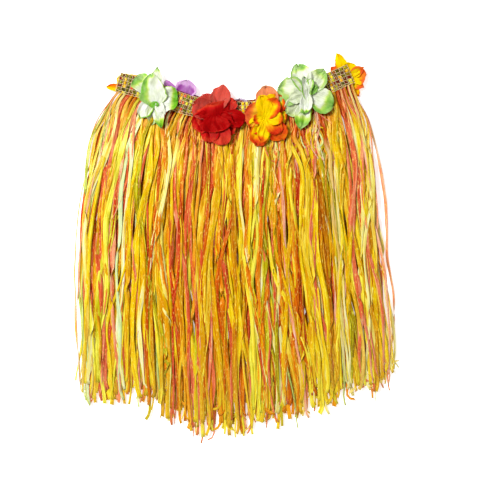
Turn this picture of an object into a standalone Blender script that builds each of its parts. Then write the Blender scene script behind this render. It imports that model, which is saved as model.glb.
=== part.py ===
"""A hula skirt laid flat on a table, face up: waistband, curtain of raffia strands, cloth flowers.

The skirt is a tube pressed flat. Its knitted waistband is one closed loop whose front half lies
on its back half. The strands hang from the loop's lower edge in hanks, a front row lying on a
back row. Flowers of two petal layers are sewn on all round, the back ones pressed under the band.
+Y runs from the hem to the waist, +Z is up, and the table is at Z = 0. Metres throughout.
"""

import math
from collections import namedtuple

import bmesh
import bpy
from mathutils import Vector

# Driving sizes.
BAND_HEIGHT = 0.033
BAND_WALL = 0.0025
BAND_BACK_RISE = 0.003  # how far the back half of the band lies above the front half, mid-way
STRAND_LENGTH = 0.498
SPREAD_LEFT = -0.070  # how far the outermost strands swing out between band and hem
SPREAD_RIGHT = 0.076
SPREAD_REACH_LEFT = 0.102  # the drop over which most of that swing happens
SPREAD_REACH_RIGHT = 0.132
HANK_GAP = 0.0006
BAND_CLEARANCE = 0.0014  # between the band's lower edge and the hanks
PETAL_WALL = 0.0015

# Heights of the middle of the band's wall.
BAND_BACK_LEVEL = 0.00625
BAND_FRONT_LEVEL = 0.01025

# Steps of the faceted shapes.
BAND_STEPS = 36
FOLD_STEPS = 6
PETAL_STEPS = 5
PETAL_RINGS = 3

# The middle line of the band as it lies, from its left fold to its right fold.
BandSection = namedtuple("BandSection", "across rise")
BAND_SECTIONS = (
    BandSection(-0.1955, 0.0487),
    BandSection(-0.1427, 0.0338),
    BandSection(-0.0850, 0.0116),
    BandSection(-0.0388, 0.0028),
    BandSection(0.0058, 0.0000),
    BandSection(0.0470, 0.0050),
    BandSection(0.0883, 0.0182),
    BandSection(0.1295, 0.0363),
    BandSection(0.1576, 0.0503),
    BandSection(0.1840, 0.0619),
)

# Heights of both rows of hanks at distances below the band: each row's floor and its crown.
DropSection = namedtuple("DropSection", "down back_floor back_crown front_floor front_crown")
DROP_SECTIONS = (
    DropSection(0.000, 0.0050, 0.0075, 0.0090, 0.0115),
    DropSection(0.014, 0.0050, 0.0080, 0.0090, 0.0122),
    DropSection(0.034, 0.0047, 0.0085, 0.0092, 0.0140),
    DropSection(0.070, 0.0000, 0.0086, 0.0092, 0.0168),
    DropSection(0.130, 0.0000, 0.0092, 0.0098, 0.0190),
    DropSection(0.210, 0.0000, 0.0092, 0.0098, 0.0195),
    DropSection(0.300, 0.0000, 0.0086, 0.0092, 0.0185),
    DropSection(0.380, 0.0000, 0.0078, 0.0084, 0.0170),
    DropSection(0.444, 0.0000, 0.0066, 0.0072, 0.0140),
    DropSection(0.498, 0.0000, 0.0040, 0.0046, 0.0085),
)
# The hank's section: height of its top above its floor, as a share, at shares of its width.
CROWN_PROFILE = ((0.0, 0.35), (0.18, 0.82), (0.5, 1.0), (0.82, 0.82), (1.0, 0.35))

# One row for each hank: its share of the band, and how much its end is longer than the others.
Hank = namedtuple("Hank", "width longer")
FRONT_HANKS = (
    Hank(0.9, 0.000),
    Hank(1.2, -0.008),
    Hank(0.8, -0.008),
    Hank(1.1, 0.002),
    Hank(1.0, 0.012),
    Hank(0.8, 0.018),
    Hank(1.2, 0.016),
    Hank(1.1, 0.008),
    Hank(0.8, 0.002),
    Hank(1.0, -0.002),
    Hank(1.2, -0.006),
    Hank(0.9, -0.008),
    Hank(1.1, -0.006),
    Hank(0.9, -0.004),
)
BACK_HANKS = (
    Hank(1.0, -0.006),
    Hank(0.9, -0.012),
    Hank(1.2, -0.008),
    Hank(0.9, 0.002),
    Hank(1.1, 0.010),
    Hank(1.2, 0.012),
    Hank(0.8, 0.006),
    Hank(1.1, 0.000),
    Hank(0.9, -0.006),
    Hank(1.2, -0.012),
    Hank(1.0, -0.012),
    Hank(0.9, -0.010),
)

# One row for each flower. Front ones open upwards. Back ones lie face down, pressed flat, and
# only their petals past the band curl up, towards the angle curl_way by the height curl.
Flower = namedtuple("Flower", "name across rise radius turn front curl_way curl color")
FLOWERS = (
    Flower("flower_green_left", -0.1378, 0.0206, 0.0430, 12, True, 0, 0, (0.80, 0.86, 0.62)),
    Flower("flower_red", -0.0388, -0.0091, 0.0435, 20, True, 0, 0, (0.58, 0.01, 0.01)),
    Flower("flower_yellow", 0.0470, -0.0091, 0.0362, 5, True, 0, 0, (0.85, 0.46, 0.01)),
    Flower("flower_green_right", 0.1147, 0.0272, 0.0395, 30, True, 0, 0, (0.80, 0.86, 0.62)),
    Flower("flower_orange_right", 0.1780, 0.0570, 0.0390, 8, False, 40, 0.012, (0.88, 0.34, 0.01)),
    Flower("flower_orange_left", -0.1790, 0.0388, 0.0355, 180, False, 150, 0.0035, (0.85, 0.25, 0.02)),
    Flower("flower_purple", -0.0932, 0.0124, 0.0400, 90, False, 75, 0.009, (0.42, 0.12, 0.42)),
    Flower("flower_lilac", 0.0041, -0.0157, 0.0395, 54, False, 90, 0.001, (0.62, 0.56, 0.68)),
)
PETALS = 5
PETAL_NOTCH = 0.24  # how deep the gap between two petals is, as a share of the radius
INNER_SHARE = 0.62  # the inner petal layer's radius over the outer's

# Front flowers: the level of their underside, and how far their petals rise.
FRONT_FLOWER_LEVEL = 0.0122
OUTER_RISE = 0.019
INNER_LIFT = 0.0030
INNER_RISE = 0.016
RUFFLE = 0.0018

# Back flowers: each layer's underside, and where the curl starts, as a share of the radius.
PRESSED_INNER_LEVEL = 0.0
PRESSED_OUTER_LEVEL = 0.0022
CURL_START = 0.5

STRAND_COLORS = ((0.75, 0.43, 0.01), (0.80, 0.55, 0.03), (0.66, 0.20, 0.03), (0.45, 0.45, 0.05))
BAND_COLOR = (0.72, 0.60, 0.30)


def clear_scene():
    """Remove whatever the file holds."""
    for thing in list(bpy.data.objects):
        bpy.data.objects.remove(thing, do_unlink=True)


def make_material(name, color, roughness):
    """A Principled material of one colour."""
    material = bpy.data.materials.new(name)
    material.use_nodes = True
    shader = material.node_tree.nodes["Principled BSDF"]
    shader.inputs["Base Color"].default_value = (*color, 1.0)
    shader.inputs["Roughness"].default_value = roughness
    shader.inputs["Metallic"].default_value = 0.0
    return material


def add_object(name, mesh_builder, material):
    """Turn a bmesh into a smooth-shaded object."""
    mesh = bpy.data.meshes.new(name)
    mesh_builder.to_mesh(mesh)
    mesh_builder.free()
    mesh.materials.append(material)
    mesh.shade_smooth()
    mesh.set_sharp_from_angle(angle=math.radians(50))
    thing = bpy.data.objects.new(name, mesh)
    bpy.context.scene.collection.objects.link(thing)
    return thing


def add_wall(thing, thickness, offset):
    """Give a surface its thickness."""
    wall = thing.modifiers.new("wall", "SOLIDIFY")
    wall.thickness = thickness
    wall.offset = offset
    wall.use_even_offset = True


def add_ring(mesh_builder, points):
    """A closed loop of edges through the points."""
    verts = [mesh_builder.verts.new(p) for p in points]
    return [mesh_builder.edges.new((a, b)) for a, b in zip(verts, verts[1:] + verts[:1])]


def smooth_line(sections, steps):
    """Points on a Catmull-Rom curve through the sections, steps for each stretch."""
    points = [Vector(s) for s in sections]
    ends = [2 * points[0] - points[1], *points, 2 * points[-1] - points[-2]]
    line = []
    for before, start, end, after in zip(ends, ends[1:], ends[2:], ends[3:]):
        for step in range(steps):
            t = step / steps
            line.append(
                0.5
                * (
                    2 * start
                    + t * (end - before)
                    + t * t * (2 * before - 5 * start + 4 * end - after)
                    + t**3 * (3 * start - before - 3 * end + after)
                )
            )
    return [*line, points[-1]]


BAND_LINE = smooth_line(BAND_SECTIONS, 12)


def band_at(share):
    """Middle of the band at a share of its length, and the unit direction from hem to waist."""
    lengths = [(b - a).length for a, b in zip(BAND_LINE, BAND_LINE[1:])]
    left = share * sum(lengths)
    for index, length in enumerate(lengths):
        if left <= length or index == len(lengths) - 1:
            break
        left -= length
    start, end = BAND_LINE[index], BAND_LINE[index + 1]
    first = max(index - 3, 0)
    last = min(index + 4, len(BAND_LINE) - 1)
    along = (BAND_LINE[last] - BAND_LINE[first]).normalized()
    return start.lerp(end, left / length), Vector((-along.y, along.x))


def build_waistband(material):
    """One strip that runs along the front, folds, runs back underneath and folds again."""
    level = (BAND_FRONT_LEVEL + BAND_BACK_LEVEL) / 2
    radius = (BAND_FRONT_LEVEL - BAND_BACK_LEVEL) / 2
    route = []
    for step in range(BAND_STEPS + 1):
        middle, up = band_at(step / BAND_STEPS)
        route.append((middle.to_3d() + Vector((0, 0, BAND_FRONT_LEVEL)), up.to_3d()))
    fold_right = fold(band_at(1.0), 1, level, radius)
    back = []
    for step in range(BAND_STEPS, -1, -1):
        share = step / BAND_STEPS
        middle, up = band_at(share)
        rise = BAND_BACK_RISE * math.sin(math.pi * share)
        back.append(((middle + up * rise).to_3d() + Vector((0, 0, BAND_BACK_LEVEL)), up.to_3d()))
    fold_left = fold(band_at(0.0), -1, level, radius)
    route += fold_right + back + fold_left[::-1]
    builder = bmesh.new()
    low = add_ring(builder, [middle - up * BAND_HEIGHT / 2 for middle, up in route])
    high = add_ring(builder, [middle + up * BAND_HEIGHT / 2 for middle, up in route])
    bmesh.ops.bridge_loops(builder, edges=low + high)
    bmesh.ops.recalc_face_normals(builder, faces=builder.faces)
    band = add_object("waistband", builder, material)
    add_wall(band, BAND_WALL, 0.0)


def fold(end, side, level, radius):
    """The band's places round a fold, from the front layer down to the back one."""
    middle, up = end
    outwards = Vector((up.y, -up.x)) * side
    places = []
    for step in range(1, FOLD_STEPS):
        angle = math.pi * step / FOLD_STEPS
        place = (middle + outwards * radius * math.sin(angle)).to_3d()
        places.append((place + Vector((0, 0, level + radius * math.cos(angle))), up.to_3d()))
    return places


def strand_point(share, down):
    """Where the strand knotted in at a share of the band lies, at a distance below the band."""
    middle, up = band_at(share)
    start = middle - up * (BAND_HEIGHT / 2 + BAND_CLEARANCE)
    swing = SPREAD_LEFT + (SPREAD_RIGHT - SPREAD_LEFT) * share
    reach = SPREAD_REACH_LEFT + (SPREAD_REACH_RIGHT - SPREAD_REACH_LEFT) * share
    across = swing * (1 - math.exp(-down / reach))
    return Vector((start.x + across, start.y - down, 0.0))


def build_hanks(row_name, hanks, floor_field, crown_field, materials):
    """One row of hanks side by side, each a flat-bottomed bundle that swells below the band."""
    total = sum(h.width for h in hanks)
    start = 0.0
    for number, hank in enumerate(hanks, 1):
        end = start + hank.width / total
        stretch = 1 + hank.longer / STRAND_LENGTH
        builder = bmesh.new()
        rings = []
        for section in DROP_SECTIONS:
            left = strand_point(start, section.down * stretch)
            right = strand_point(end, section.down * stretch)
            left.x += HANK_GAP / 2
            right.x -= HANK_GAP / 2
            low = getattr(section, floor_field)
            high = getattr(section, crown_field)
            ring = [left + Vector((0, 0, low)), right + Vector((0, 0, low))]
            for across, share in reversed(CROWN_PROFILE):
                height = low + (high - low) * share
                ring.append(left.lerp(right, across) + Vector((0, 0, height)))
            rings.append(add_ring(builder, ring))
        for ring, following in zip(rings, rings[1:]):
            bmesh.ops.bridge_loops(builder, edges=ring + following)
        for ring in (rings[0], rings[-1]):
            bmesh.ops.contextual_create(builder, geom=ring)
        bmesh.ops.recalc_face_normals(builder, faces=builder.faces)
        name = f"{row_name}_{number:02d}"
        add_object(name, builder, materials[number % len(materials)])
        start = end


def petal_layer(radius, turn, height):
    """A disc of rounded petals. height gives its level from the angle, share and radius."""
    builder = bmesh.new()
    spokes = [Vector((radius * ring / PETAL_RINGS, 0, 0)) for ring in range(PETAL_RINGS + 1)]
    verts = [builder.verts.new(p) for p in spokes]
    edges = [builder.edges.new(pair) for pair in zip(verts, verts[1:])]
    bmesh.ops.spin(
        builder,
        geom=verts + edges,
        cent=(0, 0, 0),
        axis=(0, 0, 1),
        angle=math.tau,
        steps=PETALS * PETAL_STEPS,
        use_merge=True,
    )
    bmesh.ops.remove_doubles(builder, verts=builder.verts, dist=0.0001)
    for vert in builder.verts:
        angle = math.atan2(vert.co.y, vert.co.x)
        share = vert.co.length / radius
        lobe = abs(math.cos(PETALS * angle / 2)) ** 0.7
        reach = radius * share * (1 - PETAL_NOTCH * (1 - lobe) * share)
        vert.co.x = reach * math.cos(angle + turn)
        vert.co.y = reach * math.sin(angle + turn)
        vert.co.z = height(angle, share)
    builder.normal_update()
    bmesh.ops.reverse_faces(builder, faces=[face for face in builder.faces if face.normal.z < 0])
    return builder


def build_front_flower(flower, material):
    """Two cupped petal layers, one standing inside the other, on top of the band."""
    place = Vector((flower.across, flower.rise, FRONT_FLOWER_LEVEL))
    turn = math.radians(flower.turn)

    def outer_height(angle, share):
        return OUTER_RISE * share**1.8 + RUFFLE * math.cos(PETALS * angle) * share**2

    def inner_height(angle, share):
        return INNER_LIFT + INNER_RISE * share**1.5 + RUFFLE * math.cos(PETALS * angle) * share**2

    half_petal = math.pi / PETALS
    layers = (
        ("outer", flower.radius, turn, outer_height),
        ("inner", flower.radius * INNER_SHARE, turn + half_petal, inner_height),
    )
    for suffix, radius, layer_turn, height in layers:
        builder = petal_layer(radius, layer_turn, height)
        petals = add_object(f"{flower.name}_{suffix}", builder, material)
        petals.location = place
        add_wall(petals, PETAL_WALL, 1.0)


def build_back_flower(flower, material):
    """Two petal layers pressed flat under the band, whose free petals curl up past its edge."""
    place = Vector((flower.across, flower.rise, 0.0))
    turn = math.radians(flower.turn)
    way = math.radians(flower.curl_way)
    half_petal = math.pi / PETALS
    layers = (
        ("outer", flower.radius, turn, PRESSED_OUTER_LEVEL, flower.curl),
        ("inner", flower.radius * INNER_SHARE, turn + half_petal, PRESSED_INNER_LEVEL, 0.0),
    )
    for suffix, radius, layer_turn, level, curl in layers:

        def height(angle, share, layer_turn=layer_turn, level=level, curl=curl):
            out = share * math.cos(angle + layer_turn - way) - CURL_START
            return level + curl * max(out / (1 - CURL_START), 0.0) ** 2

        builder = petal_layer(radius, layer_turn, height)
        petals = add_object(f"{flower.name}_{suffix}", builder, material)
        petals.location = place
        add_wall(petals, PETAL_WALL, 1.0)


def stand_on_origin():
    """Move every piece so that the whole box stands centred on the origin."""
    bpy.context.view_layer.update()
    graph = bpy.context.evaluated_depsgraph_get()
    things = list(bpy.context.scene.collection.objects)
    corners = []
    for thing in things:
        solid = thing.evaluated_get(graph)
        corners += [solid.matrix_world @ Vector(corner) for corner in solid.bound_box]
    low = Vector([min(corner[axis] for corner in corners) for axis in range(3)])
    high = Vector([max(corner[axis] for corner in corners) for axis in range(3)])
    shift = Vector((-(low.x + high.x) / 2, -(low.y + high.y) / 2, -low.z))
    for thing in things:
        thing.location += shift


def main():
    """Build every piece of the skirt."""
    clear_scene()
    strand_materials = [
        make_material(f"raffia_{number}", color, 0.45) for number, color in enumerate(STRAND_COLORS)
    ]
    build_waistband(make_material("band_knit", BAND_COLOR, 0.8))
    build_hanks("strands_back", BACK_HANKS, "back_floor", "back_crown", strand_materials)
    build_hanks("strands_front", FRONT_HANKS, "front_floor", "front_crown", strand_materials)
    for flower in FLOWERS:
        material = make_material(flower.name, flower.color, 0.7)
        if flower.front:
            build_front_flower(flower, material)
        else:
            build_back_flower(flower, material)
    stand_on_origin()


main()
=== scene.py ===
"""Looks of a hula skirt laid flat: creased raffia strands, a knitted waistband, cloth flowers.

Lengths are metres and angles are degrees unless a name says otherwise. +Y runs from the hem to
the waist and +Z is up from the table.
"""

import bisect
import logging
import math
import random
from collections.abc import Iterator
from dataclasses import dataclass, field
from enum import Enum
from typing import ClassVar

import bmesh
import bpy
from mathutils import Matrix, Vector, noise


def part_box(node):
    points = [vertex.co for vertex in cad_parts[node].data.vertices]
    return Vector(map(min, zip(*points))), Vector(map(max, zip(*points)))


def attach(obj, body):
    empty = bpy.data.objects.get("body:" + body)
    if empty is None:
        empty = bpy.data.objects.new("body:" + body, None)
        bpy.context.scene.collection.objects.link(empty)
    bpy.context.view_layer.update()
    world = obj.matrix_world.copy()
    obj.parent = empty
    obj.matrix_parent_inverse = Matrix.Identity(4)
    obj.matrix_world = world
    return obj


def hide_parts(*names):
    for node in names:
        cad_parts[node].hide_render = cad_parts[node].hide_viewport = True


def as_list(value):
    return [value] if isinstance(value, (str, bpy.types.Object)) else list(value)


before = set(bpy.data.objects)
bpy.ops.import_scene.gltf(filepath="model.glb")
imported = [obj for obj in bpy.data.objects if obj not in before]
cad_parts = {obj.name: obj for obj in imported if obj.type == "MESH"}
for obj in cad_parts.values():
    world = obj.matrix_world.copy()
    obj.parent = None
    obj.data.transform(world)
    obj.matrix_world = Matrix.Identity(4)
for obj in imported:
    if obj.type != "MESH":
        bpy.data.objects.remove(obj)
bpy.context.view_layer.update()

logging.basicConfig(level=logging.INFO, format="%(message)s")
log = logging.getLogger("skirt")

Color = tuple[float, float, float, float]
Socket = bpy.types.NodeSocket


def srgb(red: int, green: int, blue: int) -> Color:
    """A linear colour.

    Args:
        red: Red, from 0 to 255, as a screen shows it.
        green: Green, likewise.
        blue: Blue, likewise.

    Returns:
        The same colour in linear light, with full alpha.
    """
    shares = [value / 255 for value in (red, green, blue)]
    linear = [s / 12.92 if s <= 0.04045 else ((s + 0.055) / 1.055) ** 2.4 for s in shares]
    return (*linear, 1.0)


def dyed(red: int, green: int, blue: int, share: float = 0.76) -> Color:
    """The colour of a dye that shows as the given one under the studio's strong light."""
    shown = srgb(red, green, blue)
    return (*(share * value for value in shown[:3]), 1.0)


def petal_dye(red: int, green: int, blue: int) -> Color:
    """The same for thin petal cloth."""
    return dyed(red, green, blue, 0.80)


WHITE = srgb(255, 255, 255)


def sway(seed: float, place: float) -> float:
    """Smooth noise.

    Args:
        seed: Which noise.
        place: Where along it, in wavelengths.

    Returns:
        A value from about -1 to 1.
    """
    return 1.7 * noise.noise(Vector((place, seed * 9.13 + 0.37, seed * 3.71)))


def tone_of(seed: float) -> float:
    """The shade of a ribbon, cell or petal, from 0 to 1, which follows from its seed."""
    return (seed * 0.618) % 1.0


def crumple(seed: float, x: float, y: float) -> float:
    """Sharp creases over a plane: 1 on a crease, and down to about -1 between creases."""
    return 1 - 3.4 * abs(noise.noise(Vector((x, y, seed * 5.17))))


def ease(low: float, high: float, value: float) -> float:
    """A smooth step from 0 at low to 1 at high."""
    share = min(max((value - low) / (high - low), 0.0), 1.0)
    return share * share * (3 - 2 * share)


def curve_at(places: tuple[float, ...], values: tuple[float, ...], place: float) -> float:
    """The value at a place of a smooth curve through known values.

    Args:
        places: Where the values are known, in rising order.
        values: The values there.
        place: Where to read the curve, which is level past its ends.

    Returns:
        The value.
    """
    place = min(max(place, places[0]), places[-1])
    end = max(bisect.bisect_left(places, place), 1)
    slopes = []
    for known in (end - 1, end):
        before = max(known - 1, 0)
        after = min(known + 1, len(places) - 1)
        slopes.append((values[after] - values[before]) / (places[after] - places[before]))
    gap = places[end] - places[end - 1]
    t = (place - places[end - 1]) / gap
    blended = values[end - 1] + (values[end] - values[end - 1]) * t * t * (3 - 2 * t)
    return blended + gap * t * (1 - t) * (slopes[0] * (1 - t) - slopes[1] * t)


# ---------------------------------------------------------------------------------- finishes


class Shader:
    """A Principled material that is wired up node by node."""

    def __init__(self, name: str, roughness: float, **sockets: float) -> None:
        """Start the material.

        Args:
            name: The material's name.
            roughness: The shader's roughness.
            sockets: Other constants of the shader, with _ for a space in the socket's name.
        """
        self.material = bpy.data.materials.new(name)
        self.material.use_nodes = True
        self.tree = self.material.node_tree
        self.bsdf = self.tree.nodes["Principled BSDF"]
        self.bsdf.inputs["Roughness"].default_value = roughness
        for socket, value in sockets.items():
            self.bsdf.inputs[socket.replace("_", " ")].default_value = value

    def let_light_through(self, weight: float, reach: float, tint: Color) -> None:
        """Scatter light inside thin stuff.

        Args:
            weight: How much of the light enters it.
            reach: How far it travels inside.
            tint: How far each colour travels as a share of that, and the tint of the gloss.
        """
        self.bsdf.inputs["Subsurface Weight"].default_value = weight
        self.bsdf.inputs["Subsurface Scale"].default_value = reach
        self.bsdf.inputs["Subsurface Radius"].default_value = tint[:3]
        self.bsdf.inputs["Specular Tint"].default_value = tint

    def node(self, kind: str, inputs: dict[str | int, object], **settings: object) -> bpy.types.Node:
        """Add a node.

        Args:
            kind: Its type, without the ShaderNode in front.
            inputs: Sockets to link and values to set, by the input's name or number.
            settings: Its own properties.

        Returns:
            The node.
        """
        made = self.tree.nodes.new("ShaderNode" + kind)
        for key, value in settings.items():
            setattr(made, key, value)
        for key, value in inputs.items():
            if isinstance(value, bpy.types.NodeSocket):
                self.tree.links.new(value, made.inputs[key])
            else:
                made.inputs[key].default_value = value
        return made

    def read(self, name: str) -> Socket:
        """The value of one of the mesh's own attributes."""
        return self.node("Attribute", {}, attribute_name=name).outputs["Fac"]

    def math(self, operation: str, first: object, second: object) -> Socket:
        """The result of one sum on two sockets or values."""
        return self.node("Math", {0: first, 1: second}, operation=operation).outputs[0]

    def vector(self, x: object, y: object, z: object) -> Socket:
        """Three sockets or values as a vector."""
        return self.node("CombineXYZ", {0: x, 1: y, 2: z}).outputs[0]

    def noise(self, place: Socket, scale: float, detail: float = 2.0) -> Socket:
        """Noise from 0 to 1 at a place."""
        inputs = {"Vector": place, "Scale": scale, "Detail": detail}
        return self.node("TexNoise", inputs).outputs["Fac"]

    def ramp(self, factor: Socket, stops: tuple[tuple[float, Color], ...]) -> Socket:
        """Colours blended along a factor.

        Args:
            factor: Where on the ramp.
            stops: Places from 0 to 1, each with its colour.

        Returns:
            The colour.
        """
        made = self.node("ValToRGB", {0: factor})
        elements = made.color_ramp.elements
        while len(elements) < len(stops):
            elements.new(0.5)
        for element, (place, color) in zip(elements, stops):
            element.position = place
            element.color = color
        return made.outputs[0]

    def mask(self, factor: Socket, low: float, high: float, least: int = 0) -> Socket:
        """A grey that rises to white.

        Args:
            factor: What it follows.
            low: Where it starts to rise.
            high: Where it is white.
            least: How light it is at first, from 0 to 255.

        Returns:
            The grey.
        """
        return self.ramp(factor, ((low, srgb(least, least, least)), (high, WHITE)))

    def mix(self, factor: object, first: object, second: object, blend: str = "MIX") -> Socket:
        """One colour blended with another.

        Args:
            factor: How much of the second shows.
            first: The colour below.
            second: The colour above.
            blend: The way they blend.

        Returns:
            The colour.
        """
        inputs = {0: factor, 6: first, 7: second}
        made = self.node("Mix", inputs, data_type="RGBA", blend_type=blend)
        return made.outputs[2]

    def finish(self, color: Socket, height: Socket, strength: float, depth: float) -> bpy.types.Material:
        """Join the colour and the bump to the shader.

        Args:
            color: The base colour.
            height: The bump's height, from 0 to 1.
            strength: The bump's strength.
            depth: What a height of 1 stands for.

        Returns:
            The material.
        """
        self.tree.links.new(color, self.bsdf.inputs["Base Color"])
        inputs = {"Height": height, "Strength": strength, "Distance": depth}
        bump = self.node("Bump", inputs).outputs[0]
        self.tree.links.new(bump, self.bsdf.inputs["Normal"])
        return self.material


@dataclass(frozen=True)
class RaffiaFinish:
    """Shiny plastic ribbon, split lengthwise into fibres, with uneven dye.

    light and deep are the dye itself, gleam and glint painted highlights in pale streaks along the
    fibres and short glints, stain the colour of painted shade on buried strands and the tufts at the
    band, and glow the tint of light from inside.
    """

    light: Color
    deep: Color
    painted_highlight: Color = dyed(255, 242, 84, 0.88)
    painted_glint: Color = dyed(255, 246, 120, 0.92)
    painted_shade: Color = srgb(206, 80, 8)
    glow: Color = (1.0, 0.75, 0.3, 1.0)
    roughness: float = 0.24
    fibre_pitch: float = 0.0008
    split_pitch: float = 0.0024
    fibre_length: float = 0.045
    fibre_weight: float = 0.4
    blotch: float = 0.050
    blotch_weight: float = 0.8
    tone_weight: float = 0.55
    crinkle: float = 0.0030
    crinkled_stretch: float = 0.050
    painted_glint_size: float = 0.0014
    painted_glint_stretch: float = 4.5
    painted_glint_weight: float = 0.5
    hem_light_from: float = 0.36
    hem_light_to: float = 0.52
    hem_light_weight: float = 0.2

    def build(self, name: str) -> bpy.types.Material:
        """Wire up the material, which reads across, along, tone and depth from the mesh.

        Args:
            name: Its name.

        Returns:
            The material.
        """
        shader = Shader(name, self.roughness, Specular_IOR_Level=0.28)
        shader.let_light_through(0.3, 0.003, self.glow)
        across = shader.read("across")
        along = shader.read("along")
        tone = shader.read("tone")
        offset = shader.math("MULTIPLY", tone, 37.0)

        def streaks(wide: float, long: float, detail: float = 2.0) -> Socket:
            """Noise whose spots are as wide and as long as given.

            Args:
                wide: Their width across the ribbon.
                long: Their length along it.
                detail: How fine the noise is inside them.

            Returns:
                The noise, from 0 to 1.
            """
            x = shader.math("DIVIDE", across, wide)
            y = shader.math("DIVIDE", along, long)
            return shader.noise(shader.vector(x, y, offset), 1.0, detail)

        fibres = streaks(self.fibre_pitch, self.fibre_length)
        splits = streaks(self.split_pitch, self.fibre_length)
        blotches = streaks(self.blotch / 6, self.blotch)
        shade = shader.math("ADD", shader.math("MULTIPLY", fibres, self.fibre_weight), splits)
        shade = shader.math("ADD", shade, shader.math("MULTIPLY", blotches, self.blotch_weight))
        shade = shader.math("ADD", shade, shader.math("MULTIPLY", tone, self.tone_weight))
        # Dye from deep to light by noise; the top stop is a painted highlight along the fibres.
        stops = ((0.55, self.deep), (0.72, self.light), (0.92, self.painted_highlight))
        color = shader.ramp(shader.math("MULTIPLY", shade, 0.5), stops)
        # Painted glints: short pale streaks over the dye.
        painted_glints = shader.mask(streaks(self.painted_glint_size, self.painted_glint_size * self.painted_glint_stretch, 1.0), 0.60, 0.72)
        color = shader.mix(shader.math("MULTIPLY", painted_glints, self.painted_glint_weight), color, self.painted_glint)
        # Painted light: paler towards the cut ends.
        painted_light = shader.mask(along, self.hem_light_from, self.hem_light_to)
        color = shader.mix(shader.math("MULTIPLY", painted_light, self.hem_light_weight), color, self.painted_highlight)
        # Painted shade, multiplied in as far as the depth attribute says.
        shaded_color = shader.mix(1.0, color, self.painted_shade, "MULTIPLY")
        color = shader.mix(shader.read("depth"), color, shaded_color)
        crinkled = shader.mask(streaks(1.0, self.crinkled_stretch, 1.0), 0.48, 0.62, least=60)
        crinkles = shader.math("MULTIPLY", streaks(self.crinkle, self.crinkle * 2), crinkled)
        height = shader.math("ADD", crinkles, shader.math("MULTIPLY", fibres, 0.5))
        return shader.finish(color, height, 0.6, 0.0009)


@dataclass(frozen=True)
class ThreadFinish:
    """Matt spun thread."""

    color: Color
    shade: Color
    fluff_scale: float = 2600.0

    def build(self, name: str) -> bpy.types.Material:
        """Wire up the material, whose fluff follows Object coordinates.

        Args:
            name: Its name.

        Returns:
            The material.
        """
        shader = Shader(name, 0.8, Sheen_Weight=0.2)
        place = shader.node("TexCoord", {}).outputs["Object"]
        fluff = shader.noise(place, self.fluff_scale)
        color = shader.ramp(fluff, ((0.3, self.shade), (0.6, self.color)))
        return shader.finish(color, fluff, 0.25, 0.0002)


@dataclass(frozen=True)
class PetalFinish:
    """Thin crinkled petal cloth, dyed from the heart to the rim.

    stops are the dyes from heart to rim, tint the colour of a pale petal, cloud that of blotches,
    glow the tint of light from inside, and groove the shade in its fine veins.
    """

    stops: tuple[tuple[float, Color], ...]
    tint: Color
    cloud: Color
    glow: Color = (1.0, 1.0, 1.0, 1.0)
    groove: Color = srgb(190, 200, 160)
    roughness: float = 0.55
    spill_scale: float = 130.0
    spill: float = 0.7
    cloud_scale: float = 60.0
    cloud_weight: float = 0.4
    vein_scale: float = 110.0
    vein_narrowness: float = 7.0
    weave_scale: float = 1500.0

    def build(self, name: str) -> bpy.types.Material:
        """Wire up the material, which reads rim, fade, across, along and tone from the mesh.

        Args:
            name: Its name.

        Returns:
            The material.
        """
        shader = Shader(name, self.roughness, Specular_IOR_Level=0.3)
        shader.let_light_through(0.3, 0.003, self.glow)
        across = shader.read("across")
        along = shader.read("along")
        offset = shader.math("MULTIPLY", shader.read("tone"), 23.0)
        place = shader.vector(across, along, offset)
        spill = shader.math("MULTIPLY", shader.noise(place, self.spill_scale, 3.0), self.spill)
        rim = shader.math("ADD", shader.math("SUBTRACT", shader.read("rim"), self.spill / 2), spill)
        clouds = shader.mask(shader.noise(place, self.cloud_scale), 0.44, 0.66)
        clouds = shader.math("MULTIPLY", clouds, self.cloud_weight)
        color = shader.mix(clouds, shader.ramp(rim, self.stops), self.cloud)
        color = shader.mix(shader.read("fade"), color, self.tint)
        fine = shader.vector(shader.math("MULTIPLY", across, self.vein_narrowness), along, offset)
        veins = shader.noise(fine, self.vein_scale)
        shadow = shader.ramp(veins, ((0.3, self.groove), (0.62, WHITE)))
        color = shader.mix(0.4, color, shadow, "MULTIPLY")
        weave = shader.math("MULTIPLY", shader.noise(place, self.weave_scale, 1.0), 0.2)
        return shader.finish(color, shader.math("ADD", weave, veins), 0.45, 0.0010)


@dataclass(frozen=True)
class TableFinish:
    """Smooth white table top, lit from below like a light box so that shadows on it stay faint."""

    color: Color = srgb(252, 252, 252)
    glow: float = 0.52

    def build(self, name: str) -> bpy.types.Material:
        """Wire up the material, with a trace of unevenness.

        Args:
            name: Its name.

        Returns:
            The material.
        """
        shader = Shader(name, 0.9, Emission_Strength=self.glow, Specular_IOR_Level=0.0)
        shader.bsdf.inputs["Emission Color"].default_value = self.color
        place = shader.node("TexCoord", {}).outputs["Object"]
        grain = shader.noise(place, 40.0)
        color = shader.mix(grain, self.color, srgb(250, 250, 250))
        return shader.finish(color, grain, 0.05, 0.0002)


# Dark dyes for the band: partly the raffia's own colour, partly painted shade in recessed cells and behind
# the gaps.
MAROON = RaffiaFinish(dyed(122, 14, 14), dyed(74, 2, 6), dyed(170, 60, 20))
OLIVE = RaffiaFinish(dyed(104, 100, 6), dyed(56, 56, 0), dyed(160, 160, 30))


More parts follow.
